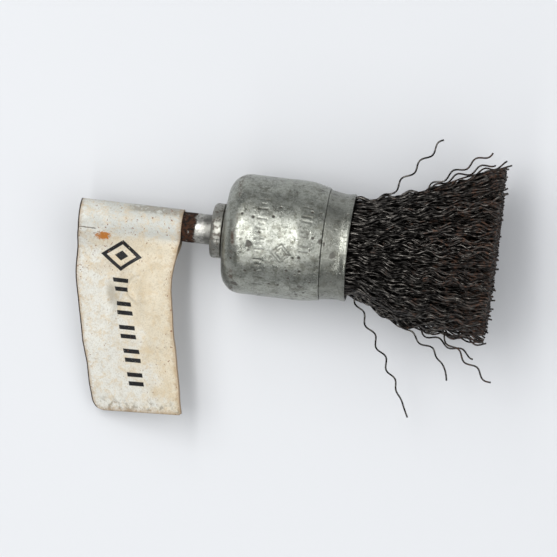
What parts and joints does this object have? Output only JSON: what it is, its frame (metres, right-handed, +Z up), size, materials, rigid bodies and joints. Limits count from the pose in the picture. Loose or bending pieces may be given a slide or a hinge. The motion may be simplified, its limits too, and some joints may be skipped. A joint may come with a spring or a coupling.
{
  "type": "wire end brush",
  "caption": "Shank-mounted end brush: round steel shank, drawn zinc-plated cup and a square-trimmed bundle of crimped steel wire, with a folded flag label that turns on the shank.",
  "frame": {"origin": "on the surface that the brush lies on, under the middle of the whole object's box", "axes": "+Z up from that surface; +X along the lying brush from the shank towards the wire tips, which is the level direction of its axis; +Y to its left. The axis itself climbs 4.58 degrees from level towards +X, in the XZ plane"},
  "size_m": [0.0856, 0.062, 0.0331],
  "materials": {
    "shank_steel": "turned steel, zinc plated, with brown rust next to the label",
    "zinc_plate": "dull zinc plate on drawn sheet, dented and pitted",
    "wire_steel": "dark oiled wire with brown rust towards the tips",
    "label": "coated paper label, yellowed and stained"
  },
  "bodies": {
    "brush": {"shank": "shank_steel", "shank_collar": "zinc_plate", "cup_shell": "zinc_plate", "mouth_band": "zinc_plate", "clamp_washer": "shank_steel", "retaining_ring": "shank_steel", "wire_tuft_01": "wire_steel", "wire_tuft_02": "wire_steel", "wire_tuft_03": "wire_steel", "wire_tuft_04": "wire_steel", "wire_tuft_05": "wire_steel", "wire_tuft_06": "wire_steel", "wire_tuft_07": "wire_steel", "wire_tuft_08": "wire_steel", "wire_tuft_09": "wire_steel", "wire_tuft_10": "wire_steel", "wire_tuft_11": "wire_steel", "wire_tuft_12": "wire_steel", "wire_tuft_13": "wire_steel", "wire_tuft_14": "wire_steel", "wire_tuft_15": "wire_steel", "wire_tuft_16": "wire_steel", "stray_wire_1": "wire_steel", "stray_wire_2": "wire_steel", "stray_wire_3": "wire_steel", "stray_wire_4": "wire_steel", "stray_wire_5": "wire_steel", "stray_wire_6": "wire_steel", "stray_wire_7": "wire_steel", "stray_wire_8": "wire_steel"},
    "tag": {"label_tag": "label"}
  },
  "joints": [
    {"name": "tag_swivel", "type": "hinge", "parent": "brush", "child": "tag", "pos_m": [-0.03211, 0.0077, 0.0101], "axis": [-0.9968, 0, -0.0799], "continuous": true}
  ]
}
